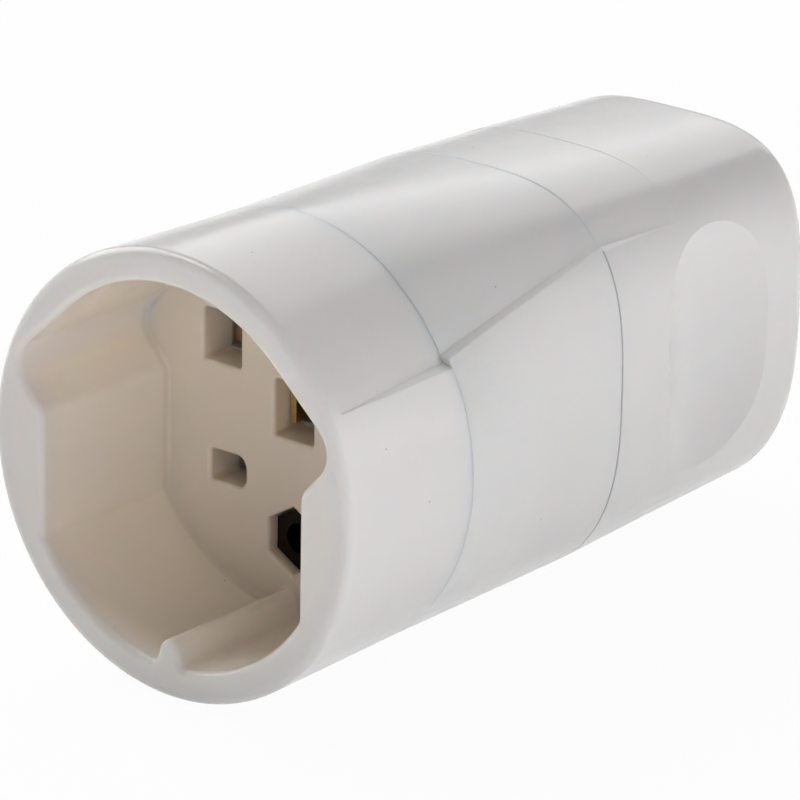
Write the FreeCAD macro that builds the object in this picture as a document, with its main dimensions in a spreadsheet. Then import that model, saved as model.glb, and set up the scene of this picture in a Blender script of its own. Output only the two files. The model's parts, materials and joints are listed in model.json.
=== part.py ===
"""Inline socket connector: three casing shells, five contacts with their carrier, and a cable clamp.

X runs along the body axis from the mating face to the tail, Y is sideways and Z is up.
The origin is under the middle of the body, on the surface that it lies on.
"Station" means a distance along the axis, counted from the mating face.
"""
import FreeCAD, Part
import math
import os

from FreeCAD import Placement, Rotation, Vector

# Driving dimensions in millimetres, angles in degrees and powers without a unit
DRIVING = [
    # Recess and floor of the front shell
    ("recess_depth", 17.9, "mating face to recess floor"),
    ("floor_thickness", 4.2, "recess floor plate"),
    ("collar_wall", 3.25, "collar wall round the recess"),
    ("recess_flat", 15.9, "axis to each flat side of the recess"),
    ("ear_angle", 47.5, "direction of the upper slopes that lead to the ears"),
    ("ear_wall", 1.76, "thinnest wall outside an ear of the recess"),
    ("ear_rounding", 3.0, "rounding in an ear's corner"),
    ("step_rounding", 1.6, "rounding where an ear steps to a flat"),
    ("flat_rounding", 1.2, "rounding where a flat meets the round bottom"),
    ("rim_rounding", 1.0, "outer edge of the mating face"),
    ("mouth_rounding", 0.7, "inner edge of the mating face"),
    ("floor_rounding", 0.6, "corner between recess wall and floor"),
    ("rib_height", 2.55, "key rib above the recess wall"),
    ("rib_crest_radius", 1.15, "rounded crest of the key rib"),
    ("rib_draft", 17.0, "slope of the key rib's sides"),
    ("rib_foot_rounding", 0.8, "corner between the key rib and the recess wall"),
    # Openings in the floor, one set for each kind of contact
    ("line_offset", 9.05, "axis to line and neutral openings, sideways"),
    ("line_rise", 7.0, "axis to line and neutral openings, upwards"),
    ("line_opening_width", 4.7, "line and neutral openings"),
    ("line_opening_height", 5.3, "line and neutral openings"),
    ("earth_rise", 1.6, "axis to earth opening, upwards"),
    ("earth_opening_width", 4.8, "earth opening"),
    ("earth_opening_height", 5.8, "earth opening"),
    ("phase_offset", 8.2, "axis to lower phase openings, sideways"),
    ("phase_drop", 6.15, "axis to lower phase openings, downwards"),
    ("phase_opening_width", 4.4, "lower phase openings"),
    ("phase_opening_height", 3.2, "lower phase openings"),
    ("opening_corner", 0.4, "corners of the openings"),
    ("phase_end_corner", 1.1, "corners at the inner end of the lower phase openings"),
    ("opening_rounding", 0.4, "edges of the openings at the recess floor"),
    # Captive nut and long screw
    ("screw_drop", 11.5, "axis to long screw, downwards"),
    ("screw_diameter", 3.0, "long screw's thread"),
    ("screw_head_diameter", 5.5, "long screw's head"),
    ("screw_head_height", 2.0, "long screw's head"),
    ("screw_tip_sink", 1.6, "screw tip below the nut's front face"),
    ("nut_flats", 5.5, "nut across flats"),
    ("nut_thickness", 2.4, "nut"),
    ("nut_clearance", 0.25, "round the nut in its pocket"),
    ("nut_sink", 1.1, "nut's front face below the recess floor"),
    ("washer_diameter", 6.0, "washer under the long screw's head"),
    ("washer_thickness", 0.5, "washer"),
    ("head_sink", 0.2, "screw head below the tail face"),
    ("thread_clearance", 0.05, "between a screw and the hole it is turned into"),
    ("hole_clearance", 0.2, "round a screw that passes a hole"),
    # Casing walls and seams, from the contacts outwards
    ("carrier_wall", 1.67, "carrier outside the outermost terminal block"),
    ("carrier_clearance", 0.15, "round carrier and cover"),
    ("spigot_wall", 1.95, "front shell's spigot"),
    ("spigot_length", 6.0, "front shell's spigot behind the seam"),
    ("spigot_clearance", 0.12, "round the spigot and the bracket ring"),
    ("shell_wall", 2.25, "middle shell at the front seam"),
    ("front_draft", 0.33, "growth of the radius from front seam to mating face"),
    ("seam_offset", 0.3, "front seam behind the recess floor"),
    ("front_seam_gap", 0.01, "hairline gap at the front seam and between the roofs"),
    ("rear_seam_gap", 0.25, "open gap at the rear seam, under the ledge"),
    # Casing sections: how far each side lies inside the front radius, and how square it is
    ("waist_side_inset", 3.35, "rear seam section, each side"),
    ("waist_top_inset", 1.84, "rear seam section, top"),
    ("waist_bottom_inset", 1.31, "rear seam section, bottom"),
    ("waist_top_power", 2.99, "rear seam section, squareness of the upper half"),
    ("waist_bottom_power", 2.61, "rear seam section, squareness of the lower half"),
    ("tail_side_inset", 5.45, "tail section, each side"),
    ("tail_top_inset", 3.27, "tail section, top"),
    ("tail_bottom_inset", 1.59, "tail section, bottom"),
    ("tail_top_power", 3.34, "tail section, squareness of the upper half"),
    ("tail_bottom_power", 2.58, "tail section, squareness of the lower half"),
    ("tail_length", 34.3, "rear seam to tail end"),
    ("tail_rounding", 3.05, "edge of the tail end"),
    ("tail_wall", 4.0, "end wall of the tail"),
    ("tail_side_wall", 3.15, "rear shell's wall at the tail's sides"),
    # Ledge along both shoulders, where the roof is a little narrower than the casing under it
    ("ledge_start", 1.9, "mating face to the ledge's first point"),
    ("ledge_front_depth", 1.15, "roof inside the side, at the end of the front shell"),
    ("ledge_seam_depth", 1.0, "roof inside the side, at the start of the middle shell"),
    ("ledge_waist_depth", 0.5, "roof inside the side, at the end of the middle shell"),
    ("ledge_tail_depth", 0.7, "roof inside the side, at the start of the rear shell"),
    ("ledge_fade", 0.04, "roof inside the casing where the ledge ends, and all along its top"),
    ("ledge_slope", 14.0, "how much the ledge falls towards the outside"),
    ("ledge_rounding", 0.2, "outer edge of the ledge on front and middle shell"),
    ("front_seam_rounding", 0.05, "front edge of the middle shell's roof"),
    ("rear_seam_rounding", 0.35, "front edge of the rear shell's roof"),
    ("ledge_front_rise", 10.6, "axis to the ledge's outer edge on the front shell"),
    ("ledge_seam_rise", 11.35, "axis to the ledge's outer edge on the middle shell at the front seam"),
    ("ledge_waist_rise", 15.0, "axis to the ledge's outer edge on the middle shell at the rear seam"),
    ("ledge_tail_rise", 14.65, "axis to the ledge's outer edge on the rear shell at the rear seam"),
    ("ledge_end_rise", 14.35, "axis to the ledge's outer edge at its rear end"),
    ("ledge_tail_run", 13.0, "length of the ledge on the rear shell"),
    # Thumb hollows of the rear shell
    ("hollow_station", 18.65, "rear seam to the middle of a thumb hollow"),
    ("hollow_radius", 23.3, "thumb hollow, about an upright axis"),
    ("hollow_depth", 1.8, "thumb hollow"),
    # Contacts
    ("carrier_length", 14.5, "contact carrier"),
    ("cover_thickness", 2.0, "carrier cover"),
    ("shoulder_thickness", 2.9, "middle shell's inner shoulder"),
    ("leaf_thickness", 0.7, "contact leaf"),
    ("leaf_gap", 3.0, "between the leaves of line, neutral and earth contacts"),
    ("phase_leaf_gap", 2.4, "between the leaves of the lower phase contacts"),
    ("leaf_height", 4.0, "leaves of line, neutral and earth contacts"),
    ("phase_leaf_height", 2.6, "leaves of the lower phase contacts"),
    ("leaf_sink", 0.4, "leaf tips behind the floor plate"),
    ("earth_lead", 2.4, "how far the earth leaves reach in front of the others"),
    ("block_length", 5.8, "terminal block"),
    ("block_width", 6.0, "terminal block"),
    ("block_height", 5.6, "terminal block"),
    ("block_clearance", 0.15, "round a terminal block and behind it"),
    ("wire_hole_diameter", 3.2, "wire hole of a terminal block"),
    ("wire_hole_depth", 4.8, "wire hole of a terminal block"),
    ("wire_entry_diameter", 4.0, "wire hole of the cover"),
    ("spring_thickness", 0.35, "contact spring"),
    ("spring_length", 4.0, "contact spring along the axis"),
    ("spring_start", 1.4, "carrier's front face to a contact spring"),
    ("spring_clearance", 0.05, "between spring and leaves"),
    ("chamber_clearance", 0.15, "beside a contact spring in its chamber"),
    ("chamber_headroom", 0.5, "over and under a contact spring in its chamber"),
    # Small screws
    ("terminal_screw_diameter", 3.0, "terminal screw"),
    ("terminal_head_diameter", 4.2, "terminal screw's head"),
    ("terminal_head_height", 1.6, "terminal screw's head"),
    ("access_clearance", 0.3, "round a terminal screw's head"),
    ("slot_width", 0.7, "slots of the screw heads"),
    ("slot_depth", 0.8, "slots of the screw heads"),
    ("carrier_screw_offset", 12.6, "axis to carrier screws, sideways"),
    ("carrier_screw_drop", 1.0, "axis to carrier screws, downwards"),
    ("carrier_screw_diameter", 2.5, "carrier screw"),
    ("carrier_head_diameter", 4.2, "carrier screw's head"),
    ("carrier_head_height", 1.6, "carrier screw's head"),
    ("carrier_screw_bite", 3.0, "length of a carrier screw in the floor plate"),
    ("shoulder_clearance", 0.5, "from the carrier screws' heads to the shoulder"),
    # Cable clamp and inlet
    ("register_depth", 3.1, "bracket ring in the middle shell, and as much in the rear shell"),
    ("ring_radius", 16.05, "bracket ring"),
    ("wire_passage_diameter", 17.0, "hole in the bracket ring"),
    ("cable_diameter", 10.4, "channel for the cable in the clamp"),
    ("tongue_length", 18.6, "bracket's tongue behind the ring"),
    ("tongue_width", 19.0, "bracket's tongue"),
    ("tongue_floor", 3.0, "tongue under the cable"),
    ("clamp_line", 0.5, "axis to the joint of tongue and saddle, upwards"),
    ("saddle_length", 8.0, "clamp saddle along the axis"),
    ("saddle_station", 9.0, "bracket ring to clamp saddle"),
    ("saddle_height", 6.0, "clamp saddle"),
    ("clamp_screw_diameter", 3.0, "clamp screw"),
    ("clamp_head_diameter", 5.0, "clamp screw's head"),
    ("clamp_head_height", 1.8, "clamp screw's head"),
    ("clamp_screw_bite", 5.5, "length of a clamp screw in the tongue"),
    ("bush_bore_diameter", 9.6, "inlet bush, for the cable"),
    ("bush_wall", 1.6, "inlet bush"),
    ("bush_flange", 1.3, "inlet bush's inner flange, outside its sleeve"),
    ("bush_flange_thickness", 1.4, "inlet bush's inner flange"),
    ("bush_sink", 0.3, "inlet bush below the tail face"),
]

# Places and sizes that follow from the driving dimensions
DERIVED = [
    ("floor_back", "Sizes.recess_depth + Sizes.floor_thickness"),
    ("front_seam", "Sizes.recess_depth + Sizes.seam_offset"),
    ("cover_front", "floor_back + Sizes.carrier_length"),
    ("cover_back", "cover_front + Sizes.cover_thickness"),
    ("ring_front", "cover_back + Sizes.shoulder_thickness"),
    ("rear_seam", "ring_front + Sizes.register_depth"),
    ("ring_back", "rear_seam + Sizes.register_depth"),
    ("overall_length", "rear_seam + Sizes.tail_length"),
    ("tail_inside", "overall_length - Sizes.tail_wall"),
    ("block_front", "cover_front - Sizes.block_clearance - Sizes.block_length"),
    ("leaf_front", "floor_back + Sizes.leaf_sink"),
    ("terminal_station", "block_front + Sizes.block_length / 2"),
    ("carrier_radius", "sqrt((Sizes.line_offset + Sizes.block_width / 2)^2"
                       " + (Sizes.line_rise + Sizes.block_height / 2)^2) + Sizes.carrier_wall"),
    ("carrier_bore", "carrier_radius + Sizes.carrier_clearance"),
    ("spigot_radius", "carrier_bore + Sizes.spigot_wall"),
    ("spigot_bore", "spigot_radius + Sizes.spigot_clearance"),
    ("seam_radius", "spigot_bore + Sizes.shell_wall"),
    ("front_radius", "seam_radius + Sizes.front_draft"),
    ("recess_radius", "front_radius - Sizes.collar_wall"),
    ("shoulder_bore", "Sizes.carrier_screw_offset + Sizes.carrier_head_diameter / 2"
                      " + Sizes.shoulder_clearance"),
    ("ring_bore", "Sizes.ring_radius + Sizes.spigot_clearance"),
    ("tail_cavity", "front_radius - Sizes.tail_side_inset - Sizes.tail_side_wall"),
    ("nut_front", "Sizes.recess_depth + Sizes.nut_sink"),
    ("nut_back", "nut_front + Sizes.nut_thickness"),
    ("washer_front", "overall_length - Sizes.head_sink - Sizes.screw_head_height - Sizes.washer_thickness"),
    ("screw_hole", "Sizes.screw_diameter / 2 + Sizes.hole_clearance"),
    ("washer_hole", "Sizes.washer_diameter / 2 + Sizes.hole_clearance"),
    ("bush_radius", "Sizes.bush_bore_diameter / 2 + Sizes.bush_wall"),
    ("bush_back", "overall_length - Sizes.bush_sink"),
    ("tongue_bottom", "-Sizes.cable_diameter / 2 - Sizes.tongue_floor"),
    ("saddle_front", "ring_back + Sizes.saddle_station"),
    ("saddle_top", "Sizes.clamp_line + Sizes.saddle_height"),
    ("clamp_screw_offset", "(Sizes.tongue_width + Sizes.cable_diameter) / 4"),
]

# The five contacts: name, sideways place, height, opening, leaves and side of the terminal screw
CONTACTS = [
    ("line_1", "Sizes.line_offset", "Sizes.line_rise", "line", 1),
    ("neutral", "-Sizes.line_offset", "Sizes.line_rise", "line", 1),
    ("earth", "0", "Sizes.earth_rise", "earth", 1),
    ("line_2", "Sizes.phase_offset", "-Sizes.phase_drop", "phase", -1),
    ("line_3", "-Sizes.phase_offset", "-Sizes.phase_drop", "phase", -1),
]

CUT_PAST = "1"          # how far a cutting tool reaches past an open face
OVERLAP = "1"           # how far a piece reaches into the one it is joined to
NEAR = 1e-4             # distance at which an edge counts as lying on a face
SECTION_POINTS = 48     # points on a casing section's curve
BIG = 40.0              # larger than any section of the body
UPWARD = 0.9            # a face counts as looking up when its normal rises at least this much

doc = FreeCAD.newDocument("inline_socket_connector")
sizes = doc.addObject("Spreadsheet::Sheet", "Sizes")
layout = doc.addObject("Spreadsheet::Sheet", "Layout")
nodes = []


def fill_sheets():
    for row, (alias, number, meaning) in enumerate(DRIVING, start=1):
        sizes.set(f"A{row}", meaning)
        sizes.set(f"B{row}", str(number))
        sizes.setAlias(f"B{row}", alias)
    for row, (alias, formula) in enumerate(DERIVED, start=1):
        layout.set(f"A{row}", "=" + formula)
        layout.setAlias(f"A{row}", alias)
    doc.recompute()


def size(alias):
    return float(sizes.get(alias))


def place(alias):
    return float(layout.get(alias))


# Building blocks

def put(piece, x, y, z, rotation=Rotation()):
    """Place a piece at station x, at y sideways and at z above the body axis."""
    piece.Placement = Placement(Vector(), rotation)
    piece.setExpression("Placement.Base.x", f"{x} - Layout.overall_length / 2")
    piece.setExpression("Placement.Base.y", y)
    piece.setExpression("Placement.Base.z", f"{z} + Layout.front_radius")


def block(name, x, y, z, length, width, height):
    """Box from station x to x + length, centred on y and z."""
    piece = doc.addObject("Part::Box", name)
    piece.setExpression("Length", length)
    piece.setExpression("Width", width)
    piece.setExpression("Height", height)
    put(piece, x, f"{y} - ({width}) / 2", f"{z} - ({height}) / 2")
    return piece


def rod(name, x, y, z, radius, length):
    """Cylinder along the axis from station x to x + length."""
    piece = doc.addObject("Part::Cylinder", name)
    piece.setExpression("Radius", radius)
    piece.setExpression("Height", length)
    put(piece, x, y, z, Rotation(Vector(0, 1, 0), 90))
    return piece


def pillar(name, x, y, z, radius, height):
    """Upright cylinder from z to z + height."""
    piece = doc.addObject("Part::Cylinder", name)
    piece.setExpression("Radius", radius)
    piece.setExpression("Height", height)
    put(piece, x, y, z)
    return piece


def fuse(name, *pieces):
    result = doc.addObject("Part::MultiFuse", name)
    result.Shapes = list(pieces)
    return result


def cut(name, base, *tools):
    result = doc.addObject("Part::Cut", name)
    result.Base = base
    result.Tool = tools[0] if len(tools) == 1 else fuse(name + "_tools", *tools)
    return result


def round_edges(name, base, radius, chosen):
    """Round those edges of base for which chosen(edge) is true."""
    doc.recompute()
    result = doc.addObject("Part::Fillet", name)
    result.Base = base
    result.Edges = [(k, radius, radius) for k, edge in enumerate(base.Shape.Edges, start=1) if chosen(edge)]
    return result


def freeform(name, shape):
    """A piece whose shape is made below, from station 0 on the body axis."""
    piece = doc.addObject("Part::Feature", name)
    piece.Shape = shape
    put(piece, "0", "0", "0")
    return piece


def node(label, piece):
    """Make a piece a sub-part of its own: its label names its file."""
    piece.Label = label
    nodes.append(piece)
    return piece


def group(name, pieces):
    result = doc.addObject("Part::Compound", name)
    result.Links = list(pieces)
    return result


# Casing sections

def section(station, half_width, top, bottom, top_power, bottom_power):
    """Closed rounded-square curve: a superellipse with its own height and power above and below."""
    points = []
    for k in range(SECTION_POINTS):
        angle = 2 * math.pi * k / SECTION_POINTS
        across = math.cos(angle)
        upward = math.sin(angle)
        height = top if upward >= 0 else bottom
        power = top_power if upward >= 0 else bottom_power
        reach = (abs(across / half_width) ** power + abs(upward / height) ** power) ** (-1 / power)
        points.append(Vector(station, reach * across, reach * upward))
    curve = Part.BSplineCurve()
    steps = [float(k) for k in range(SECTION_POINTS + 1)]
    curve.interpolate(Points=points, PeriodicFlag=True, Parameters=steps)
    return Part.Wire([curve.toShape()])


def side_sizes(name):
    """Half width, top, bottom and the two powers of the waist or tail section."""
    radius = place("front_radius")
    half_width = radius - size(name + "_side_inset")
    top = radius - size(name + "_top_inset")
    bottom = radius - size(name + "_bottom_inset")
    return [half_width, top, bottom, size(name + "_top_power"), size(name + "_bottom_power")]


def round_sizes(radius):
    """The same list for a round section."""
    return [radius, radius, radius, 2.0, 2.0]


def roof_sizes(casing_sizes, depth):
    """Sizes of the roof's section: narrower by a depth on each side, and hardly lower at the top."""
    half_width, top, bottom, top_power, bottom_power = casing_sizes
    return [half_width - depth, top - size("ledge_fade"), bottom - depth, top_power, bottom_power]


def between(first, last, share):
    return [a + (b - a) * share for a, b in zip(first, last)]


def loft(start, start_sizes, end, end_sizes):
    return Part.makeLoft([section(start, *start_sizes), section(end, *end_sizes)], True, True)


def soft_front(solid, start, radius):
    """Round the front edge of a roof."""
    edges = [edge for edge in solid.Edges if edge.BoundBox.XMax < start + NEAR]
    return solid.makeFillet(radius, edges)


def gable(station, casing_sizes, rise):
    """Outline of the room over the ledge, which meets the casing's sides at a height above the axis."""
    half_width, top = casing_sizes[:2]
    power = casing_sizes[3]
    side = half_width * (1 - (rise / top) ** power) ** (1 / power)
    fall = math.tan(math.radians(size("ledge_slope")))
    eaves = rise - fall * (BIG - side)
    corners = [
        Vector(station, 0, rise + fall * side),
        Vector(station, BIG, eaves),
        Vector(station, BIG, BIG),
        Vector(station, -BIG, BIG),
        Vector(station, -BIG, eaves),
    ]
    return Part.makePolygon(corners + corners[:1])


def above(start, start_sizes, start_rise, end, end_sizes, end_rise):
    """Everything over the ledge between two stations, across the whole body."""
    outlines = [gable(start, start_sizes, start_rise), gable(end, end_sizes, end_rise)]
    return Part.makeLoft(outlines, True, True)


# Outline of the plug recess

def corner_arc(corner, towards_a, towards_b, radius):
    """Arc that rounds a corner between two straight lines, from line a to line b."""
    half = towards_a.getAngle(towards_b) / 2
    run = radius / math.tan(half)
    start = corner + towards_a * run
    end = corner + towards_b * run
    middle_way = (towards_a + towards_b).normalize()
    middle = corner + middle_way * (radius / math.sin(half) - radius)
    return start, middle, end


def rib_side(radius):
    """One side of the key rib, from the recess wall over the foot and the flank to the crest."""
    crest_round = size("rib_crest_radius")
    foot_round = size("rib_foot_rounding")
    draft = math.radians(size("rib_draft"))
    flank_out = Vector(0, math.cos(draft), math.sin(draft))
    flank_down = Vector(0, math.sin(draft), -math.cos(draft))
    crest = Vector(0, 0, size("rib_height") - radius)
    crest_centre = crest - Vector(0, 0, crest_round)
    reach = flank_out.dot(crest_centre) + crest_round + foot_round
    foot_centre = flank_out * reach + flank_down * math.sqrt((radius - foot_round) ** 2 - reach ** 2)
    wall_out = Vector(foot_centre).normalize()
    wall_foot = wall_out * radius
    foot_middle = foot_centre + (wall_out - flank_out).normalize() * foot_round
    flank_foot = foot_centre - flank_out * foot_round
    flank_top = crest_centre + flank_out * crest_round
    return wall_foot, foot_middle, flank_foot, flank_top, crest


def recess_outline():
    """Round recess with two flats, two ears with square rounded corners and the key rib at the bottom."""
    radius = place("recess_radius")
    flat = size("recess_flat")
    angle = math.radians(size("ear_angle"))
    slope_normal = Vector(0, math.cos(angle), math.sin(angle))
    slope_down = Vector(0, math.sin(angle), -math.cos(angle))
    ear_round = size("ear_rounding")
    ear_reach = place("front_radius") - size("ear_wall")
    ear_offset = ear_round + math.sqrt((ear_reach - ear_round) ** 2 - (radius - ear_round) ** 2)
    ear = slope_normal * radius + slope_down * ear_offset
    step_back = (ear.y - flat) / slope_normal.y
    step = ear - slope_normal * step_back
    flat_round = size("flat_rounding")
    bottom_y = flat - flat_round
    bottom_z = -math.sqrt((radius - flat_round) ** 2 - bottom_y ** 2)
    bottom = Vector(0, bottom_y, bottom_z)
    bottom_out = Vector(bottom).normalize()
    side_out = Vector(0, 1, 0)
    ear_arc = corner_arc(ear, -slope_down, -slope_normal, ear_round)
    step_arc = corner_arc(step, slope_normal, Vector(0, 0, -1), size("step_rounding"))
    foot_start = bottom + side_out * flat_round
    foot_middle = bottom + (side_out + bottom_out).normalize() * flat_round
    foot_end = bottom_out * radius
    tangent = slope_normal * radius
    crown = Vector(0, 0, radius)
    wall_foot, rib_foot, flank_foot, flank_top, crest = rib_side(radius)
    base = (foot_end + wall_foot).normalize() * radius

    def mirrored(point):
        return Vector(point.x, -point.y, point.z)

    def half(side):
        return [
            Part.LineSegment(side(tangent), side(ear_arc[0])),
            Part.Arc(*[side(p) for p in ear_arc]),
            Part.LineSegment(side(ear_arc[2]), side(step_arc[0])),
            Part.Arc(*[side(p) for p in step_arc]),
            Part.LineSegment(side(step_arc[2]), side(foot_start)),
            Part.Arc(side(foot_start), side(foot_middle), side(foot_end)),
            Part.Arc(side(foot_end), side(base), side(wall_foot)),
            Part.Arc(side(wall_foot), side(rib_foot), side(flank_foot)),
            Part.LineSegment(side(flank_foot), side(flank_top)),
        ]

    curves = half(Vector) + half(mirrored)
    curves.append(Part.Arc(tangent, crown, mirrored(tangent)))
    curves.append(Part.Arc(flank_top, crest, mirrored(flank_top)))
    edges = Part.sortEdges([curve.toShape() for curve in curves])[0]
    return Part.Wire(edges)


# Shells

def runs_along(edge):
    return edge.BoundBox.XLength > NEAR


def opening_tools(x, length):
    """The five contact openings as cutting tools with rounded corners."""
    tools = []
    for contact, y, z, kind, turn in CONTACTS:
        bar = block("opening_" + contact, x, y, z, length,
                    f"Sizes.{kind}_opening_width", f"Sizes.{kind}_opening_height")
        inner_reach = size("phase_offset") if kind == "phase" else 0.0
        tool = round_edges("soft_opening_" + contact, bar, size("opening_corner"),
                           lambda edge: runs_along(edge) and abs(edge.CenterOfMass.y) > inner_reach)
        if kind == "phase":
            end_reach = inner_reach - size("phase_opening_width") / 2 + NEAR
            tool = round_edges("opening_end_" + contact, tool, size("phase_end_corner"),
                               lambda edge: runs_along(edge) and abs(edge.CenterOfMass.y) < end_reach)
        tools.append(tool)
    return tools


def nut_pocket():
    pocket = doc.addObject("Part::Prism", "nut_pocket")
    pocket.Polygon = 6
    pocket.setExpression("Circumradius", "(Sizes.nut_flats / 2 + Sizes.nut_clearance) / cos(30 deg)")
    pocket.setExpression("Height", f"Layout.nut_back - Sizes.recess_depth + {CUT_PAST}")
    put(pocket, f"Sizes.recess_depth - {CUT_PAST}", "0", "-Sizes.screw_drop", Rotation(Vector(0, 1, 0), 90))
    return pocket


def soft_ledge(lower, run):
    """Round the two long outer edges of the faces that a cut over the ledge leaves."""
    edges = []
    for face in lower.Faces:
        if face.normalAt(0, 0).z > UPWARD:
            edges += [edge for edge in face.OuterWire.Edges
                      if edge.BoundBox.XLength > run / 2 and abs(edge.CenterOfMass.y) > NEAR]
    return lower.makeFillet(size("ledge_rounding"), edges)


def roofed(lower, roof):
    """Casing with its roof a little inside its sides, so that a ledge is left between them."""
    return lower.fuse(roof).Solids[0]


def front_casing():
    """Round collar, slightly conical, with the ledge that deepens towards the seam."""
    start = size("ledge_start")
    seam = place("front_seam")
    collar = Part.makeCone(place("front_radius"), place("seam_radius"), seam, Vector(), Vector(1, 0, 0))
    start_sizes = round_sizes(place("front_radius") - size("front_draft") * start / seam)
    seam_sizes = round_sizes(place("seam_radius"))
    roof = loft(start, roof_sizes(start_sizes, size("ledge_fade")),
                seam, roof_sizes(seam_sizes, size("ledge_front_depth")))
    rise = size("ledge_front_rise")
    lower = collar.cut(above(start, start_sizes, rise, seam, seam_sizes, rise))
    return roofed(soft_ledge(lower, seam - start), roof)


def make_front_shell():
    face_x = -place("overall_length") / 2
    floor_x = face_x + size("recess_depth")
    axis_z = place("front_radius")

    def reach(edge):
        return max(math.hypot(point.Y, point.Z - axis_z) for point in edge.Vertexes)

    rim = round_edges("rounded_collar", freeform("front_casing", front_casing()), size("rim_rounding"),
                      lambda edge: edge.BoundBox.XMax < face_x + NEAR)
    spigot = rod("spigot", f"Layout.front_seam - {OVERLAP}", "0", "0", "Layout.spigot_radius",
                 f"Sizes.spigot_length + {OVERLAP}")
    body = fuse("collar_with_spigot", rim, spigot)
    depth = size("recess_depth")
    prism = Part.Face(recess_outline()).extrude(Vector(depth, 0, 0))
    floor_edges = [edge for edge in prism.Edges if edge.BoundBox.XMin > depth - NEAR]
    recess = freeform("recess", prism.makeFillet(size("floor_rounding"), floor_edges))
    seat = rod("carrier_seat", "Layout.floor_back", "0", "0", "Layout.carrier_bore",
               f"Layout.front_seam + Sizes.spigot_length + {CUT_PAST} - Layout.floor_back")
    hollowed = cut("hollowed_collar", body, recess, seat)
    face_reach = place("front_radius") - size("rim_rounding") - NEAR
    mouth = round_edges("rounded_mouth", hollowed, size("mouth_rounding"),
                        lambda edge: edge.BoundBox.XMax < face_x + NEAR and reach(edge) < face_reach)
    openings = opening_tools(f"Sizes.recess_depth - {CUT_PAST}", f"Sizes.floor_thickness + 2 * {CUT_PAST}")
    pierced = cut("pierced_collar", mouth, *openings, nut_pocket())
    floor_reach = size("recess_flat") - size("floor_rounding") - NEAR
    softened = round_edges("softened_collar", pierced, size("opening_rounding"),
                           lambda edge: abs(edge.BoundBox.XMin - floor_x) < NEAR
                           and abs(edge.BoundBox.XMax - floor_x) < NEAR and reach(edge) < floor_reach)
    screw_way = rod("nut_screw_way", f"Layout.nut_back - {CUT_PAST}", "0", "-Sizes.screw_drop",
                    "Layout.screw_hole", f"Layout.floor_back - Layout.nut_back + 2 * {CUT_PAST}")
    pilots = []
    for side in ("", "-"):
        pilots.append(rod("carrier_pilot" + side.replace("-", "_right"),
                          "Layout.floor_back - Sizes.carrier_screw_bite", f"{side}Sizes.carrier_screw_offset",
                          "-Sizes.carrier_screw_drop",
                          "Sizes.carrier_screw_diameter / 2 + Sizes.thread_clearance",
                          f"Sizes.carrier_screw_bite + {CUT_PAST}"))
    node("front_shell", cut("front_shell", softened, screw_way, *pilots))


def make_middle_shell():
    start = place("front_seam") + size("front_seam_gap")
    end = place("rear_seam")
    waist = side_sizes("waist")
    seam_sizes = round_sizes(place("seam_radius"))
    outside = loft(start, seam_sizes, end, waist)
    roof = loft(start, roof_sizes(seam_sizes, size("ledge_seam_depth")),
                end, roof_sizes(waist, size("ledge_waist_depth")))
    roof = soft_front(roof, start, size("front_seam_rounding"))
    over = above(start, seam_sizes, size("ledge_seam_rise"), end, waist, size("ledge_waist_rise"))
    lower = outside.cut(over)
    casing = freeform("middle_casing", roofed(soft_ledge(lower, end - start), roof))
    spigot_seat = rod("spigot_seat", f"Layout.front_seam - {CUT_PAST}", "0", "0", "Layout.spigot_bore",
                      f"Sizes.spigot_length + Sizes.hole_clearance + {CUT_PAST}")
    carrier_bore = rod("middle_bore", "Layout.front_seam", "0", "0", "Layout.carrier_bore",
                       "Layout.cover_back - Layout.front_seam")
    passage = rod("shoulder_bore", "Layout.front_seam", "0", "0", "Layout.shoulder_bore",
                  f"Layout.rear_seam - Layout.front_seam + {CUT_PAST}")
    ring_seat = rod("middle_ring_seat", "Layout.ring_front", "0", "0", "Layout.ring_bore",
                    f"Sizes.register_depth + {CUT_PAST}")
    node("middle_shell", cut("middle_shell", casing, spigot_seat, carrier_bore, passage, ring_seat))


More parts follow.
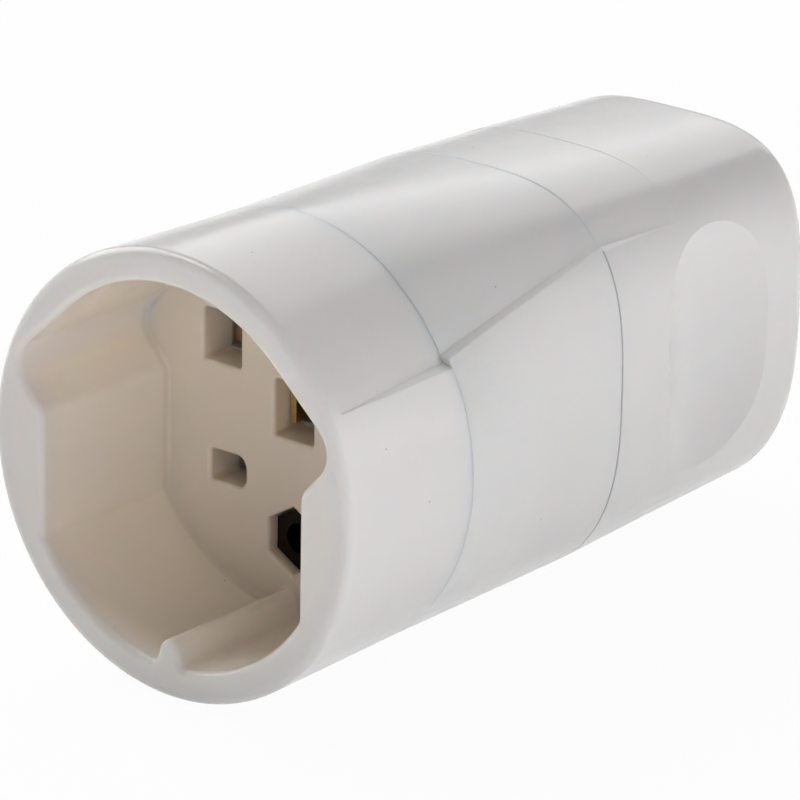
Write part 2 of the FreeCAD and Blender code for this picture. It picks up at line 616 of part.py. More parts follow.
def make_rear_shell():
    seam = place("rear_seam")
    start = seam + size("front_seam_gap")
    end = place("overall_length")
    rounded_from = end - size("tail_rounding")
    waist = side_sizes("waist")
    tail = side_sizes("tail")

    def sizes_at(station):
        return between(waist, tail, (station - seam) / (rounded_from - seam))

    tail_solid = loft(start, sizes_at(start), end, sizes_at(end))
    end_edges = [edge for edge in tail_solid.Edges if edge.BoundBox.XMin > end - NEAR]
    outside = tail_solid.makeFillet(size("tail_rounding"), end_edges)
    ledge_end = seam + size("ledge_tail_run")
    roof = loft(start, roof_sizes(sizes_at(start), size("ledge_tail_depth")),
                ledge_end, roof_sizes(sizes_at(ledge_end), size("ledge_fade")))
    roof = soft_front(roof, start, size("rear_seam_rounding"))
    rise = size("ledge_tail_rise")
    over = above(start, sizes_at(start), rise, ledge_end, sizes_at(ledge_end), size("ledge_end_rise"))
    gap = Part.makeBox(size("rear_seam_gap"), 2 * BIG, rise + BIG, Vector(seam, -BIG, -BIG))
    casing = freeform("rear_casing", outside.cut(over.cut(roof)).cut(gap))
    hollow_at = seam + size("hollow_station")
    hollow_side = sizes_at(hollow_at)[0] + size("hollow_radius") - size("hollow_depth")
    hollows = []
    for name, side in (("left", 1), ("right", -1)):
        hollows.append(pillar("thumb_hollow_" + name, "Layout.rear_seam + Sizes.hollow_station",
                              str(side * hollow_side), "-Layout.front_radius", "Sizes.hollow_radius",
                              "2 * Layout.front_radius"))
    ring_seat = rod("rear_ring_seat", f"Layout.rear_seam - {CUT_PAST}", "0", "0", "Layout.ring_bore",
                    f"Sizes.register_depth + {CUT_PAST}")
    cavity = rod("tail_cavity", "Layout.rear_seam", "0", "0", "Layout.tail_cavity",
                 "Layout.tail_inside - Layout.rear_seam")
    inlet = rod("inlet", f"Layout.tail_inside - {CUT_PAST}", "0", "0", "Layout.bush_radius",
                f"Sizes.tail_wall + 2 * {CUT_PAST}")
    screw_way = rod("tail_screw_way", f"Layout.tail_inside - {CUT_PAST}", "0", "-Sizes.screw_drop",
                    "Layout.screw_hole", f"Sizes.tail_wall + 2 * {CUT_PAST}")
    head_seat = rod("head_seat", "Layout.washer_front", "0", "-Sizes.screw_drop", "Layout.washer_hole",
                    f"Layout.overall_length - Layout.washer_front + {CUT_PAST}")
    node("rear_shell", cut("rear_shell", casing, *hollows, ring_seat, cavity, inlet, screw_way, head_seat))


# Contacts and their carrier

def leaf_sizes(kind):
    prefix = "phase_" if kind == "phase" else ""
    return f"Sizes.{prefix}leaf_gap", f"Sizes.{prefix}leaf_height"


def make_contact(contact, y, z, kind, turn):
    """Two brass leaves on a terminal block with a wire hole and a screw hole."""
    gap, height = leaf_sizes(kind)
    front = "Layout.leaf_front" if kind != "earth" else "(Layout.leaf_front - Sizes.earth_lead)"
    root = "Layout.block_front + Sizes.leaf_thickness"
    leaves = []
    for name, side in (("left", "+"), ("right", "-")):
        leaf_y = f"({y} {side} ({gap} + Sizes.leaf_thickness) / 2)"
        leaves.append(block(f"leaf_{name}_{contact}", front, leaf_y, z, f"{root} - {front}",
                            "Sizes.leaf_thickness", height))
    terminal = block(f"terminal_{contact}", "Layout.block_front", y, z,
                     "Sizes.block_length", "Sizes.block_width", "Sizes.block_height")
    body = fuse(f"contact_body_{contact}", terminal, *leaves)
    wire_hole = rod(f"wire_hole_{contact}",
                    "Layout.block_front + Sizes.block_length - Sizes.wire_hole_depth", y, z,
                    "Sizes.wire_hole_diameter / 2", f"Sizes.wire_hole_depth + {CUT_PAST}")
    half_height = f"(Sizes.block_height / 2 + {CUT_PAST})"
    hole_foot = z if turn > 0 else f"({z} - {half_height})"
    screw_hole = pillar(f"screw_hole_{contact}", "Layout.terminal_station", y, hole_foot,
                        "Sizes.terminal_screw_diameter / 2 + Sizes.thread_clearance", half_height)
    node(f"contact_{contact}", cut(f"contact_{contact}", body, wire_hole, screw_hole))


def spring_width(gap):
    return f"({gap} + 2 * (Sizes.leaf_thickness + Sizes.spring_clearance + Sizes.spring_thickness))"


def make_spring(contact, y, z, kind):
    """Steel clip over both leaves, open at the bottom."""
    gap, height = leaf_sizes(kind)
    inner_width = f"({gap} + 2 * (Sizes.leaf_thickness + Sizes.spring_clearance))"
    roof = "(Sizes.spring_clearance + Sizes.spring_thickness)"
    station = "(Layout.floor_back + Sizes.spring_start)"
    outer = block(f"spring_outer_{contact}", station, y, f"({z} + {roof} / 2)", "Sizes.spring_length",
                  spring_width(gap), f"{height} + {roof}")
    inner = block(f"spring_inner_{contact}", f"{station} - {CUT_PAST}", y,
                  f"({z} + Sizes.spring_clearance / 2 - {CUT_PAST} / 2)",
                  f"Sizes.spring_length + 2 * {CUT_PAST}", inner_width,
                  f"{height} + Sizes.spring_clearance + {CUT_PAST}")
    node(f"spring_{contact}", cut(f"spring_{contact}", outer, inner))


def slotted_screw(name, shank, head, slot):
    return cut(name, fuse(name + "_solid", shank, head), slot)


def make_terminal_screws():
    screws = []
    for contact, y, z, kind, turn in CONTACTS:
        half = "Sizes.block_height / 2"
        head = "Sizes.terminal_head_height"
        foot = "(Sizes.wire_hole_diameter / 4)"
        station = "Layout.terminal_station"
        radius = "Sizes.terminal_screw_diameter / 2"
        name = f"terminal_screw_{contact}"
        shank_z = f"({z} + {foot})" if turn > 0 else f"({z} - {half} - {head} / 2)"
        head_z = f"({z} + {half})" if turn > 0 else f"({z} - {half} - {head})"
        slot_z = f"({z} + {half} + {head})" if turn > 0 else f"({z} - {half} - {head})"
        shank = pillar(name + "_shank", station, y, shank_z, radius, f"{half} - {foot} + {head} / 2")
        cap = pillar(name + "_head", station, y, head_z, "Sizes.terminal_head_diameter / 2", head)
        slot = block(name + "_slot", f"{station} - Sizes.terminal_head_diameter", y, slot_z,
                     "2 * Sizes.terminal_head_diameter", "Sizes.slot_width", "2 * Sizes.slot_depth")
        screws.append(slotted_screw(name, shank, cap, slot))
    node("terminal_screws", group("terminal_screws", screws))


def make_carrier():
    """Moulded block with a stepped chamber for each contact and a hole for each screw."""
    barrel = rod("carrier_barrel", "Layout.floor_back", "0", "0", "Layout.carrier_radius",
                 "Sizes.carrier_length")
    tools = []
    for contact, y, z, kind, turn in CONTACTS:
        gap, height = leaf_sizes(kind)
        roof = "(Sizes.spring_clearance + Sizes.spring_thickness)"
        tools.append(block(f"chamber_{contact}", f"Layout.floor_back - {CUT_PAST}", y, f"({z} + {roof} / 2)",
                           f"Layout.block_front - Layout.floor_back + {CUT_PAST}",
                           f"{spring_width(gap)} + 2 * Sizes.chamber_clearance",
                           f"{height} + {roof} + 2 * Sizes.chamber_headroom"))
        tools.append(block(f"block_room_{contact}", "Layout.block_front - Sizes.block_clearance", y, z,
                           f"Layout.cover_front - Layout.block_front + Sizes.block_clearance + {CUT_PAST}",
                           "Sizes.block_width + 2 * Sizes.block_clearance",
                           "Sizes.block_height + 2 * Sizes.block_clearance"))
        reach = "(Layout.carrier_radius * 2)"
        foot = z if turn > 0 else f"({z} - {reach})"
        tools.append(pillar(f"access_{contact}", "Layout.terminal_station", y, foot,
                            "Sizes.terminal_head_diameter / 2 + Sizes.access_clearance", reach))
    length = f"Sizes.carrier_length + 2 * {CUT_PAST}"
    tools += screw_ways("carrier", f"Layout.floor_back - {CUT_PAST}", length)
    node("contact_carrier", cut("contact_carrier", barrel, *tools))


def screw_ways(name, x, length):
    """Holes for the long screw and for the two carrier screws."""
    ways = [rod(name + "_screw_way", x, "0", "-Sizes.screw_drop", "Layout.screw_hole", length)]
    for side in ("", "-"):
        ways.append(rod(name + "_way" + side.replace("-", "_right"), x, f"{side}Sizes.carrier_screw_offset",
                        "-Sizes.carrier_screw_drop",
                        "Sizes.carrier_screw_diameter / 2 + Sizes.hole_clearance", length))
    return ways


def make_cover():
    plate = rod("cover_plate", "Layout.cover_front", "0", "0", "Layout.carrier_radius",
                "Sizes.cover_thickness")
    x = f"Layout.cover_front - {CUT_PAST}"
    length = f"Sizes.cover_thickness + 2 * {CUT_PAST}"
    entries = [rod(f"wire_entry_{contact}", x, y, z, "Sizes.wire_entry_diameter / 2", length)
               for contact, y, z, kind, turn in CONTACTS]
    node("carrier_cover", cut("carrier_cover", plate, *entries, *screw_ways("cover", x, length)))


def make_carrier_screws():
    screws = []
    for name, side in (("carrier_screw_left", ""), ("carrier_screw_right", "-")):
        y = f"{side}Sizes.carrier_screw_offset"
        z = "-Sizes.carrier_screw_drop"
        tip = "Layout.floor_back - Sizes.carrier_screw_bite"
        head = "Sizes.carrier_head_height"
        shank = rod(name + "_shank", tip, y, z, "Sizes.carrier_screw_diameter / 2",
                    f"Layout.cover_back - ({tip}) + {head} / 2")
        cap = rod(name + "_head", "Layout.cover_back", y, z, "Sizes.carrier_head_diameter / 2", head)
        slot = block(name + "_slot", f"Layout.cover_back + {head} - Sizes.slot_depth", y, z, head,
                     "2 * Sizes.carrier_head_diameter", "Sizes.slot_width")
        screws.append(slotted_screw(name, shank, cap, slot))
    node("carrier_screws", group("carrier_screws", screws))


# Captive nut and the long screw that holds the shells together

def make_nut():
    hexagon = doc.addObject("Part::Prism", "nut_hexagon")
    hexagon.Polygon = 6
    hexagon.setExpression("Circumradius", "Sizes.nut_flats / 2 / cos(30 deg)")
    hexagon.setExpression("Height", "Sizes.nut_thickness")
    put(hexagon, "Layout.nut_front", "0", "-Sizes.screw_drop", Rotation(Vector(0, 1, 0), 90))
    thread = rod("nut_thread", f"Layout.nut_front - {CUT_PAST}", "0", "-Sizes.screw_drop",
                 "Sizes.screw_diameter / 2 + Sizes.thread_clearance", f"Sizes.nut_thickness + 2 * {CUT_PAST}")
    node("captive_nut", cut("captive_nut", hexagon, thread))


def make_assembly_screw():
    tip = "(Layout.nut_front + Sizes.screw_tip_sink)"
    under_head = "(Layout.washer_front + Sizes.washer_thickness)"
    head = "Sizes.screw_head_height"
    shank = rod("long_shank", tip, "0", "-Sizes.screw_drop", "Sizes.screw_diameter / 2",
                f"{under_head} - {tip} + {head} / 2")
    cap = rod("long_head", under_head, "0", "-Sizes.screw_drop", "Sizes.screw_head_diameter / 2", head)
    slot = block("long_slot", f"{under_head} + {head} - Sizes.slot_depth", "0", "-Sizes.screw_drop", head,
                 "2 * Sizes.screw_head_diameter", "Sizes.slot_width")
    node("assembly_screw", slotted_screw("assembly_screw", shank, cap, slot))
    disc = rod("washer_disc", "Layout.washer_front", "0", "-Sizes.screw_drop", "Sizes.washer_diameter / 2",
               "Sizes.washer_thickness")
    hole = rod("washer_hole", f"Layout.washer_front - {CUT_PAST}", "0", "-Sizes.screw_drop",
               "Layout.screw_hole", f"Sizes.washer_thickness + 2 * {CUT_PAST}")
    node("assembly_washer", cut("assembly_washer", disc, hole))


# Cable clamp and inlet bush

def make_clamp():
    ring = rod("bracket_ring", "Layout.ring_front", "0", "0", "Sizes.ring_radius", "2 * Sizes.register_depth")
    tongue_height = "(Sizes.clamp_line - Layout.tongue_bottom)"
    tongue = block("bracket_tongue", f"Layout.ring_back - {OVERLAP}", "0",
                   f"(Layout.tongue_bottom + {tongue_height} / 2)", f"Sizes.tongue_length + {OVERLAP}",
                   "Sizes.tongue_width", tongue_height)
    channel = rod("tongue_channel", f"Layout.ring_back - {CUT_PAST}", "0", "0", "Sizes.cable_diameter / 2",
                  f"Sizes.tongue_length + 2 * {CUT_PAST}")
    passage = rod("wire_passage", f"Layout.ring_front - {CUT_PAST}", "0", "0",
                  "Sizes.wire_passage_diameter / 2", f"2 * Sizes.register_depth + {CUT_PAST}")
    screw_way = rod("bracket_screw_way", f"Layout.ring_front - {CUT_PAST}", "0", "-Sizes.screw_drop",
                    "Layout.screw_hole", f"2 * Sizes.register_depth + 2 * {CUT_PAST}")
    station = "(Layout.saddle_front + Sizes.saddle_length / 2)"
    bar = block("saddle_bar", "Layout.saddle_front", "0", "(Sizes.clamp_line + Sizes.saddle_height / 2)",
                "Sizes.saddle_length", "Sizes.tongue_width", "Sizes.saddle_height")
    saddle_channel = rod("saddle_channel", f"Layout.saddle_front - {CUT_PAST}", "0", "0",
                         "Sizes.cable_diameter / 2", f"Sizes.saddle_length + 2 * {CUT_PAST}")
    pilots = []
    ways = []
    screws = []
    radius = "Sizes.clamp_screw_diameter / 2"
    foot = "(Sizes.clamp_line - Sizes.clamp_screw_bite)"
    head = "Sizes.clamp_head_height"
    for name, side in (("left", ""), ("right", "-")):
        y = f"{side}Layout.clamp_screw_offset"
        pilots.append(pillar("clamp_pilot_" + name, station, y, foot, f"{radius} + Sizes.thread_clearance",
                             f"Sizes.clamp_screw_bite + {CUT_PAST}"))
        ways.append(pillar("clamp_way_" + name, station, y, f"Sizes.clamp_line - {CUT_PAST}",
                           f"{radius} + Sizes.hole_clearance", f"Sizes.saddle_height + 2 * {CUT_PAST}"))
        shank = pillar("clamp_shank_" + name, station, y, foot, radius,
                       f"Layout.saddle_top - {foot} + {head} / 2")
        cap = pillar("clamp_head_" + name, station, y, "Layout.saddle_top",
                     "Sizes.clamp_head_diameter / 2", head)
        slot = block("clamp_slot_" + name, f"{station} - Sizes.clamp_head_diameter", y,
                     f"(Layout.saddle_top + {head})", "2 * Sizes.clamp_head_diameter", "Sizes.slot_width",
                     "2 * Sizes.slot_depth")
        screws.append(slotted_screw("clamp_screw_" + name, shank, cap, slot))
    node("clamp_bracket", cut("clamp_bracket", fuse("bracket_solid", ring, tongue),
                              channel, passage, screw_way, *pilots))
    node("clamp_saddle", cut("clamp_saddle", bar, saddle_channel, *ways))
    node("clamp_screws", group("clamp_screws", screws))


def make_bush():
    flange_front = "(Layout.tail_inside - Sizes.bush_flange_thickness)"
    sleeve = rod("bush_sleeve", flange_front, "0", "0", "Layout.bush_radius - Sizes.thread_clearance",
                 f"Layout.bush_back - {flange_front}")
    flange = rod("bush_flange", flange_front, "0", "0", "Layout.bush_radius + Sizes.bush_flange",
                 "Sizes.bush_flange_thickness")
    bore = rod("bush_bore", f"{flange_front} - {CUT_PAST}", "0", "0", "Sizes.bush_bore_diameter / 2",
               f"Layout.bush_back - {flange_front} + 2 * {CUT_PAST}")
    node("inlet_bush", cut("inlet_bush", fuse("bush_solid", sleeve, flange), bore))


def check_document():
    for item in doc.Objects:
        if "Invalid" in item.State or "Error" in item.State:
            raise RuntimeError(f"{item.Name} failed: {item.State}")
    for piece in nodes:
        if piece.Shape.isNull() or not piece.Shape.isValid() or not piece.Shape.Solids:
            raise RuntimeError(f"{piece.Label} has no valid solid")


def write_parts():
    os.makedirs("parts", exist_ok=True)
    for piece in nodes:
        solids = piece.Shape.Solids
        shape = solids[0] if len(solids) == 1 else Part.makeCompound(solids)
        shape.exportStep(f"parts/{piece.Label}.step")
        print(f"{piece.Label}: {len(solids)} solid(s), {shape.Volume:.1f} mm3")


fill_sheets()
make_front_shell()
make_middle_shell()
make_rear_shell()
for name, y, z, kind, turn in CONTACTS:
    make_contact(name, y, z, kind, turn)
    make_spring(name, y, z, kind)
make_terminal_screws()
make_carrier()
make_cover()
make_carrier_screws()
make_nut()
make_assembly_screw()
make_clamp()
make_bush()
doc.recompute()
check_document()
write_parts()
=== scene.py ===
"""Studio picture of the white inline socket connector: materials, soft light and the photograph's camera."""
import json
import math

import bpy
from mathutils import Matrix, Vector


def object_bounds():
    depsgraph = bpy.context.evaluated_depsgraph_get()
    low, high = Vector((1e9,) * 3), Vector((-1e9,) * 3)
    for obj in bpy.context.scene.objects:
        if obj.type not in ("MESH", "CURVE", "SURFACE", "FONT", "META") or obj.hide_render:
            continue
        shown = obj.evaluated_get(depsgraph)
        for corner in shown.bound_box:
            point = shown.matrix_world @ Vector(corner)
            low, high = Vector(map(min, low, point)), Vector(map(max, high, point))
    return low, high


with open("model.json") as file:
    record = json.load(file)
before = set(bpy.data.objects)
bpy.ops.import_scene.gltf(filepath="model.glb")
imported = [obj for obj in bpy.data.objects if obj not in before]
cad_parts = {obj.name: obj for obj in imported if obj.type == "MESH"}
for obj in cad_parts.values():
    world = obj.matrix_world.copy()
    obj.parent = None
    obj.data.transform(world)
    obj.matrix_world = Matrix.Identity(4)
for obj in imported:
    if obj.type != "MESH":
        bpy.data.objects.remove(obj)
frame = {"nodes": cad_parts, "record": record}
cad_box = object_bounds()
nodes = frame["nodes"]
scene = bpy.context.scene
scene.view_settings.view_transform = "Standard"

MM = 0.001
AXIS_HEIGHT = cad_box[1][2] / 2     # the body's axis above the floor, in metres

# Places along the body where the painted warm glow of the recess and the painted shade on the metal at the
# nut begin and end, in millimetres
MOUTH_GLOW = (-39.4, -36.0)         # the painted glow on the recess wall comes in behind the mouth
FLOOR_GLOW = (-22.4, -21.9)         # the painted glow of the recess floor takes over
CARRIER_GLOW = (-18.0, -16.5)       # the painted glow ends behind the floor
RECESS_RADIUS = (19.0, 20.6)        # from the recess wall outwards, the painted glow fades
NUT_BACK = (-16.5, -15.5)           # the painted shade over the nut ends here along the body
NUT_TOP = (14.0, 15.0)              # and here above the floor

# How much of the painted recess glow the mouth's edge takes, and how strong the dust is
MOUTH_GLOW_SHARE = 0.3
DUST_SHARE = 0.55

# Band of a noise that is stretched to the full range of what it drives
NOISE_LOW = 0.3
NOISE_HIGH = 0.7

# Surroundings, in metres
FLOOR_HALF = 2.0
FLOOR_GREY = 0.88
WHITE_SHARE = 0.96                  # how much of the floor is plain white to the camera and in reflections
TENT_TOP = 0.25                     # sine of the elevation up to which the tent is white
TENT_END = 0.36                     # and above which it is dark
TENT_DARK = 0.03
TENT_STRENGTH = 0.42

# Softboxes stand at one distance from the body: direction, width and height in metres, watts
SOFTBOX_DISTANCE = 0.9
SMALL_BOX = (0.4, 0.35)
LARGE_BOX = (0.7, 0.5)
SOFTBOXES = {
    "key_softbox": ((-0.04, 0.5, 0.86), SMALL_BOX, 2.3),
    "left_softbox": ((0.0, 0.85, 0.5), LARGE_BOX, 4.0),
    "back_softbox": ((0.75, 0.35, 0.5), LARGE_BOX, 2.0),
    "tail_softbox": ((0.5, -0.85, 0.15), LARGE_BOX, 1.9),
    "side_softbox": ((-0.35, -0.93, 0.13), LARGE_BOX, 0.7),
    "camera_fill": ((-0.7, -0.57, 0.4), LARGE_BOX, 0.6),
}

# Lamps that look down at the floor beside the body: place, width and depth in metres, watts
FLOOR_LIGHT_SPREAD = 40.0           # degrees
FLOOR_LIGHTS = {
    "right_floor_light": ((0.0, -0.42, 0.3), (0.8, 0.6), 3.1),
    "front_floor_light": ((-0.28, -0.2, 0.3), (0.35, 0.35), 0.7),
}

# The photograph's viewpoint, found from the outline of the casing
SENSOR_WIDTH = 36.0
LENS = 250.35
CAMERA_PLACE = (-0.397657, -0.319544, 0.205855)
CAMERA_RIGHT = (0.63641, -0.77117, 0.01657)
CAMERA_FORWARD = (0.72783, 0.59325, -0.34396)


# Node helpers

class Shader:
    """A material's node tree with short calls for the nodes used here."""

    def __init__(self, name):
        self.material = bpy.data.materials.new(name)
        self.material.use_nodes = True
        self.tree = self.material.node_tree
        self.surface = self.tree.nodes["Principled BSDF"]
        self.place = self.node("ShaderNodeTexCoord").outputs["Object"]

    def node(self, kind, **settings):
        made = self.tree.nodes.new(kind)
        for key, value in settings.items():
            setattr(made, key, value)
        return made

    def link(self, output, socket):
        self.tree.links.new(output, socket)

    def drive(self, name, output):
        """Let an output set one of the surface's own values."""
        self.link(output, self.surface.inputs[name])

    def fixed(self, **values):
        for key, value in values.items():
            self.surface.inputs[key.replace("_", " ")].default_value = value

    def axes(self):
        """The place on the body as separate X, Y and Z outputs."""
        split = self.node("ShaderNodeSeparateXYZ")
        self.link(self.place, split.inputs["Vector"])
        return split.outputs["X"], split.outputs["Y"], split.outputs["Z"]

    def in_mm(self, stretch=(1.0, 1.0, 1.0)):
        """The place on the body in millimetres, stretched along the axes."""
        scaled = self.node("ShaderNodeMapping")
        scaled.inputs["Scale"].default_value = [s / MM for s in stretch]
        self.link(self.place, scaled.inputs["Vector"])
        return scaled.outputs["Vector"]

    def noise(self, per_mm, detail=2.0, stretch=(1.0, 1.0, 1.0)):
        """Noise with about per_mm swells to the millimetre, as a value from 0 to 1."""
        texture = self.node("ShaderNodeTexNoise")
        texture.inputs["Scale"].default_value = per_mm
        texture.inputs["Detail"].default_value = detail
        self.link(self.in_mm(stretch), texture.inputs["Vector"])
        return texture.outputs["Fac"]

    def remap(self, value, from_low, from_high, to_low, to_high):
        ramp = self.node("ShaderNodeMapRange", clamp=True)
        limits = {"From Min": from_low, "From Max": from_high, "To Min": to_low, "To Max": to_high}
        for key, number in limits.items():
            ramp.inputs[key].default_value = number
        self.link(value, ramp.inputs["Value"])
        return ramp.outputs["Result"]

    def fade(self, value, band_mm, first, second):
        """First before a band of millimetres, second after it."""
        return self.remap(value, band_mm[0] * MM, band_mm[1] * MM, first, second)

    def spread(self, noise, low=0.0, high=1.0):
        """The middle band of a noise, stretched from low to high."""
        return self.remap(noise, NOISE_LOW, NOISE_HIGH, low, high)

    def math(self, operation, first, second):
        made = self.node("ShaderNodeMath", operation=operation)
        for socket, value in zip(made.inputs, (first, second)):
            if isinstance(value, (int, float)):
                socket.default_value = value
            else:
                self.link(value, socket)
        return made.outputs["Value"]

    def mix(self, share, first, second):
        """Colour between first and second, each a colour or an output."""
        made = self.node("ShaderNodeMix", data_type="RGBA")
        self.link(share, made.inputs["Factor"])
        for socket, value in ((made.inputs[6], first), (made.inputs[7], second)):
            if isinstance(value, tuple):
                socket.default_value = (*value, 1.0)
            else:
                self.link(value, socket)
        return made.outputs[2]

    def bump(self, height, strength, distance_mm):
        made = self.node("ShaderNodeBump")
        made.inputs["Strength"].default_value = strength
        made.inputs["Distance"].default_value = distance_mm * MM
        self.link(height, made.inputs["Height"])
        self.drive("Normal", made.outputs["Normal"])


# Materials

def specks(shader, per_mm, size):
    """Sparse dots of dust: 1 on a dot and 0 elsewhere."""
    core = size * 0.6
    cells = shader.node("ShaderNodeTexVoronoi")
    cells.inputs["Scale"].default_value = per_mm
    shader.link(shader.in_mm(), cells.inputs["Vector"])
    return shader.remap(cells.outputs["Distance"], core, size, 1.0, 0.0)


def painted_glow_share(shader):
    """How much of the painted warm glow a place takes: 0 outside, and 1 on the recess walls and floor."""
    along, across, height = shader.axes()
    lift = shader.math("SUBTRACT", height, AXIS_HEIGHT)
    across_squared = shader.math("POWER", across, 2.0)
    lift_squared = shader.math("POWER", lift, 2.0)
    radius = shader.math("SQRT", shader.math("ADD", across_squared, lift_squared), 0.0)
    inside = shader.fade(radius, RECESS_RADIUS, 1.0, 0.0)
    before_carrier = shader.fade(along, CARRIER_GLOW, 1.0, 0.0)
    behind_mouth = shader.fade(along, MOUTH_GLOW, MOUTH_GLOW_SHARE, 1.0)
    return shader.math("MULTIPLY", shader.math("MULTIPLY", inside, before_carrier), behind_mouth)


def white_plastic():
    """Glossy white moulding with a painted warm glow in the recess, with faint waves and dust."""
    shader = Shader("white_gloss")
    along = shader.axes()[0]
    cloud = shader.spread(shader.noise(0.06, detail=3.0))
    outside_colour = shader.mix(cloud, (0.80, 0.785, 0.78), (0.83, 0.815, 0.81))
    # Painted warm glow in the recess: the walls are painted lighter and warmer than the outside, and the
    # floor warmer and a little darker
    painted_wall_glow = shader.mix(cloud, (0.95, 0.865, 0.77), (0.97, 0.885, 0.79))
    painted_floor_glow = shader.mix(cloud, (0.83, 0.73, 0.62), (0.86, 0.76, 0.65))
    at_floor = shader.fade(along, FLOOR_GLOW, 0.0, 1.0)
    painted_recess_glow = shader.mix(at_floor, painted_wall_glow, painted_floor_glow)
    clean = shader.mix(painted_glow_share(shader), outside_colour, painted_recess_glow)
    dust = shader.math("MULTIPLY", specks(shader, 0.22, 0.03), DUST_SHARE)
    shader.drive("Base Color", shader.mix(dust, clean, (0.33, 0.29, 0.26)))
    shader.drive("Roughness", shader.spread(shader.noise(0.5, detail=4.0), 0.17, 0.25))
    shader.bump(shader.noise(0.12, detail=1.0), strength=0.12, distance_mm=0.12)
    shader.fixed(IOR=1.5, Subsurface_Weight=0.35, Subsurface_Scale=1.0 * MM)
    shader.fixed(Subsurface_Radius=(3.0, 2.0, 1.3))
    return shader.material


def dull_plastic(name, dark, light):
    """Matt moulding with a fine eroded grain."""
    shader = Shader(name)
    cloud = shader.spread(shader.noise(0.15, detail=4.0))
    shader.drive("Base Color", shader.mix(cloud, dark, light))
    shader.drive("Roughness", shader.spread(shader.noise(2.0), 0.42, 0.55))
    shader.bump(shader.noise(6.0, detail=3.0), strength=0.25, distance_mm=0.03)
    shader.fixed(IOR=1.5)
    return shader.material


def metal(name, dark, light, stretch, smooth, rough):
    """Rolled or turned metal: streaks along one direction, cloudy tarnish, and nearly black painted shade on
    the metal low at the nut.
    """
    shader = Shader(name)
    along, _, height = shader.axes()
    tarnish = shader.remap(shader.noise(0.35, detail=5.0), 0.35, NOISE_HIGH, 0.0, 1.0)
    worn = shader.mix(tarnish, light, dark)
    # Painted shade: metal low in the recess at the nut is painted nearly black
    low = shader.fade(height, NUT_TOP, 1.0, 0.0)
    at_nut = shader.fade(along, NUT_BACK, 1.0, 0.0)
    painted_shade = shader.math("MULTIPLY", low, at_nut)
    shader.drive("Base Color", shader.mix(painted_shade, worn, (0.02, 0.016, 0.012)))
    streaks = shader.noise(5.0, detail=3.0, stretch=stretch)
    shader.drive("Roughness", shader.spread(streaks, smooth, rough))
    shader.bump(streaks, strength=0.15, distance_mm=0.02)
    shader.fixed(Metallic=1.0)
    return shader.material


def soft_rubber(name, dark, light):
    """Dull rubber with a fine grain."""
    shader = Shader(name)
    cloud = shader.spread(shader.noise(0.3, detail=4.0))
    shader.drive("Base Color", shader.mix(cloud, dark, light))
    shader.bump(shader.noise(8.0, detail=3.0), strength=0.3, distance_mm=0.03)
    shader.fixed(Roughness=0.62, IOR=1.45)
    return shader.material


def dress():
    """Give every node the material of its slot in the record."""
    along_axis = (0.08, 1.0, 1.0)
    even = (1.0, 1.0, 1.0)
    materials = {
        "white_gloss": white_plastic(),
        "carrier_plastic": dull_plastic("carrier_plastic", (0.60, 0.53, 0.43), (0.68, 0.61, 0.51)),
        "clamp_plastic": dull_plastic("clamp_plastic", (0.56, 0.56, 0.55), (0.63, 0.63, 0.62)),
        "brass": metal("brass", (0.42, 0.27, 0.10), (0.72, 0.52, 0.26), along_axis, 0.28, 0.42),
        "spring_steel": metal("spring_steel", (0.44, 0.43, 0.42), (0.60, 0.60, 0.61), along_axis, 0.22, 0.34),
        "screw_steel": metal("screw_steel", (0.48, 0.47, 0.45), (0.66, 0.66, 0.67), even, 0.28, 0.42),
        # The nut's nearly black colour is painted shade on a steel nut
        "nut_steel": metal("nut_steel", (0.03, 0.025, 0.02), (0.07, 0.06, 0.05), even, 0.4, 0.55),
        "bush_rubber": soft_rubber("bush_rubber", (0.70, 0.69, 0.68), (0.76, 0.75, 0.74)),
    }
    for entry in frame["record"]["subparts"]:
        slots = nodes[entry["node"]].data.materials
        slots.clear()
        slots.append(materials[entry["material_slot"]])


# Surroundings

def add_object(name, data):
    """Put a mesh, lamp or camera into the scene."""
    made = bpy.data.objects.new(name, data)
    scene.collection.objects.link(made)
    return made


def white_floor():
    """Grey to the light that falls on it, and nearly white to the camera and in reflections."""
    material = bpy.data.materials.new("floor")
    material.use_nodes = True
    tree = material.node_tree
    tree.nodes.clear()
    diffuse = tree.nodes.new("ShaderNodeBsdfDiffuse")
    diffuse.inputs["Color"].default_value = (FLOOR_GREY, FLOOR_GREY, FLOOR_GREY, 1.0)
    glow = tree.nodes.new("ShaderNodeEmission")
    glow.inputs["Strength"].default_value = 1.0
    rays = tree.nodes.new("ShaderNodeLightPath")
    seen = rays.outputs["Is Camera Ray"]
    for kind in ("Is Glossy Ray", "Is Transmission Ray"):
        either = tree.nodes.new("ShaderNodeMath")
        either.operation = "MAXIMUM"
        tree.links.new(seen, either.inputs[0])
        tree.links.new(rays.outputs[kind], either.inputs[1])
        seen = either.outputs["Value"]
    share = tree.nodes.new("ShaderNodeMath")
    share.operation = "MULTIPLY"
    share.inputs[1].default_value = WHITE_SHARE
    mix = tree.nodes.new("ShaderNodeMixShader")
    output = tree.nodes.new("ShaderNodeOutputMaterial")
    tree.links.new(seen, share.inputs[0])
    tree.links.new(share.outputs["Value"], mix.inputs["Fac"])
    tree.links.new(diffuse.outputs["BSDF"], mix.inputs[1])
    tree.links.new(glow.outputs["Emission"], mix.inputs[2])
    tree.links.new(mix.outputs["Shader"], output.inputs["Surface"])
    return material


def make_floor():
    """White floor with a soft shadow under the body."""
    low = -FLOOR_HALF
    high = FLOOR_HALF
    corners = [(low, low, 0.0), (high, low, 0.0), (high, high, 0.0), (low, high, 0.0)]
    mesh = bpy.data.meshes.new("floor")
    mesh.from_pydata(corners, [], [(0, 1, 2, 3)])
    mesh.materials.append(white_floor())
    floor = add_object("floor", mesh)


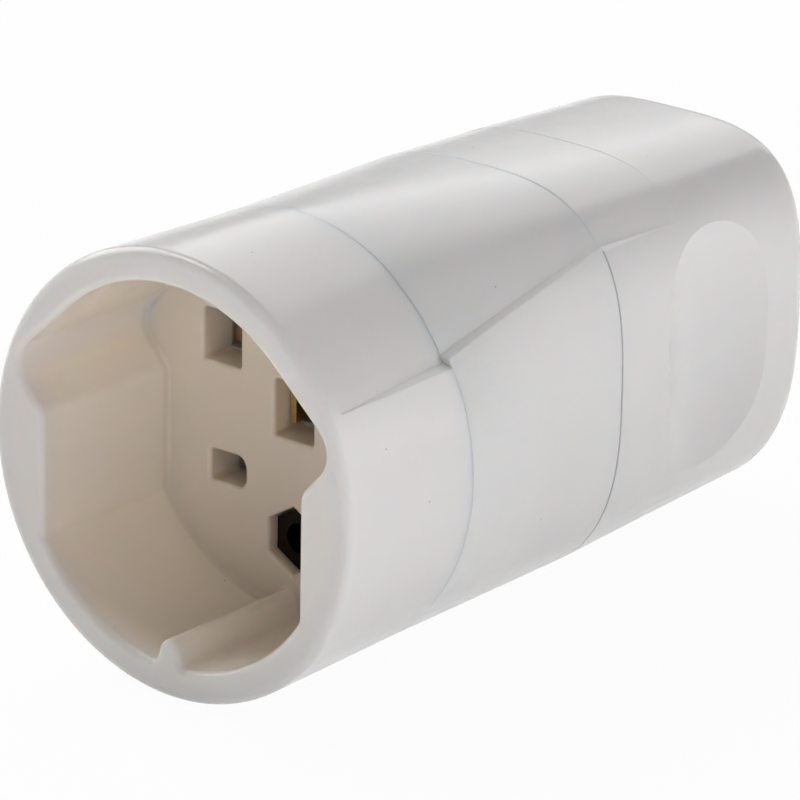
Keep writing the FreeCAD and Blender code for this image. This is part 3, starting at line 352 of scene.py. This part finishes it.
def make_world():
    """White near the horizon and darker overhead, like a light tent with an open top."""
    world = bpy.data.worlds.new("studio")
    scene.world = world
    world.use_nodes = True
    tree = world.node_tree
    tree.nodes.clear()
    place = tree.nodes.new("ShaderNodeTexCoord")
    split = tree.nodes.new("ShaderNodeSeparateXYZ")
    ramp = tree.nodes.new("ShaderNodeValToRGB")
    low, high = ramp.color_ramp.elements
    low.position = TENT_TOP
    low.color = (1.0, 1.0, 1.0, 1.0)
    high.position = TENT_END
    high.color = (TENT_DARK, TENT_DARK, TENT_DARK, 1.0)
    background = tree.nodes.new("ShaderNodeBackground")
    background.inputs["Strength"].default_value = TENT_STRENGTH
    white = tree.nodes.new("ShaderNodeBackground")
    white.inputs["Color"].default_value = (1.0, 1.0, 1.0, 1.0)
    rays = tree.nodes.new("ShaderNodeLightPath")
    mix = tree.nodes.new("ShaderNodeMixShader")
    output = tree.nodes.new("ShaderNodeOutputWorld")
    tree.links.new(place.outputs["Generated"], split.inputs["Vector"])
    tree.links.new(split.outputs["Z"], ramp.inputs["Fac"])
    tree.links.new(ramp.outputs["Color"], background.inputs["Color"])
    tree.links.new(rays.outputs["Is Camera Ray"], mix.inputs["Fac"])
    tree.links.new(background.outputs["Background"], mix.inputs[1])
    tree.links.new(white.outputs["Background"], mix.inputs[2])
    tree.links.new(mix.outputs["Shader"], output.inputs["Surface"])


def area_lamp(name, size, watts):
    """Oblong lamp at the origin, which looks straight down."""
    lamp = bpy.data.lights.new(name, "AREA")
    lamp.shape = "RECTANGLE"
    lamp.size, lamp.size_y = size
    lamp.energy = watts
    return add_object(name, lamp)


def make_softboxes():
    """Lamps that look at the middle of the body."""
    middle = Vector((0.0, 0.0, AXIS_HEIGHT))
    for name, (direction, size, watts) in SOFTBOXES.items():
        holder = area_lamp(name, size, watts)
        holder.location = middle + Vector(direction).normalized() * SOFTBOX_DISTANCE
        holder.rotation_euler = (middle - holder.location).to_track_quat("-Z", "Y").to_euler()


def make_floor_lights():
    """Narrow beams straight down, so that the floor beside the body shines back at it."""
    for name, (place, size, watts) in FLOOR_LIGHTS.items():
        holder = area_lamp(name, size, watts)
        holder.data.spread = math.radians(FLOOR_LIGHT_SPREAD)
        holder.location = place


def make_camera():
    """Camera at the photograph's viewpoint."""
    data = bpy.data.cameras.new("camera")
    data.sensor_fit = "HORIZONTAL"
    data.sensor_width = SENSOR_WIDTH
    data.lens = LENS
    right = Vector(CAMERA_RIGHT).normalized()
    forward = Vector(CAMERA_FORWARD)
    forward = (forward - right * forward.dot(right)).normalized()
    up = right.cross(forward)
    turn = Matrix((right, up, -forward)).transposed()
    camera = add_object("camera", data)
    camera.matrix_world = Matrix.Translation(CAMERA_PLACE) @ turn.to_4x4()
    scene.camera = camera


dress()
make_floor()
make_world()
make_softboxes()
make_floor_lights()
make_camera()
